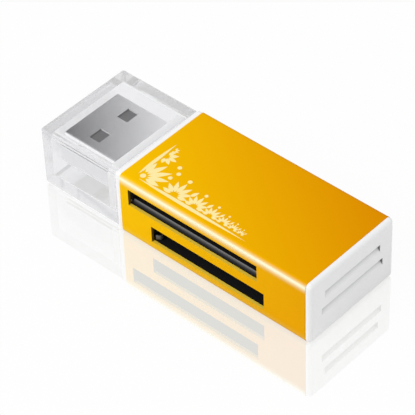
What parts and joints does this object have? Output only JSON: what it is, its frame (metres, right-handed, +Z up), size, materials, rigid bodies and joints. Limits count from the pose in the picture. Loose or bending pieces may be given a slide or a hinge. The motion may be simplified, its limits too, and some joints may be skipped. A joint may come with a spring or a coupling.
{
  "type": "usb memory card reader",
  "caption": "Stick-shaped memory card reader with a metal sleeve, card slots in both long sides, a plug at one end under a clear pull-off cap, and a grooved white end.",
  "frame": {"origin": "centre of the bounding box, at the underside that the reader lies on", "axes": "+X from the plug and its cap towards the grooved rear end, -Y towards the front with the two large card slots, +Z up"},
  "size_m": [0.0524, 0.0186, 0.0113],
  "materials": {
    "clear_plastic": "clear, polished",
    "gold_aluminium": "gold anodised, satin",
    "white_plastic": "soft gloss",
    "plug_steel": "bright, rolled",
    "spring_steel": "dull, rolled",
    "insulator": "moulded",
    "gold_plate": "gold plated",
    "board_laminate": "solder mask",
    "black_plastic": "moulded",
    "chip_resin": "moulded",
    "tinned_metal": "tinned",
    "chip_ceramic": "fired",
    "lamp_lens": "cast resin"
  },
  "bodies": {
    "reader": {"sleeve": "gold_aluminium", "front_collar": "white_plastic", "rear_end_cap": "white_plastic", "plug_shell": "plug_steel", "plug_tongue": "insulator", "plug_power_contacts": "gold_plate", "plug_data_contacts": "gold_plate", "circuit_board": "board_laminate", "wide_card_socket": "black_plastic", "small_card_socket": "black_plastic", "upper_lid": "black_plastic", "lower_carrier": "black_plastic", "wide_card_springs": "gold_plate", "stick_card_springs": "gold_plate", "micro_card_springs": "gold_plate", "mini_card_springs": "gold_plate", "card_detect_leaf": "spring_steel", "controller_chip": "chip_resin", "controller_leads": "tinned_metal", "crystal_base": "chip_ceramic", "crystal_lid": "tinned_metal", "capacitors": "chip_ceramic", "resistors": "chip_resin", "activity_led": "lamp_lens"},
    "cap": {"clear_cap": "clear_plastic"}
  },
  "joints": [
    {"name": "cap_slide", "type": "slide", "parent": "reader", "child": "cap", "axis": [-1, 0, 0], "range_m": [0, 0.018]}
  ]
}
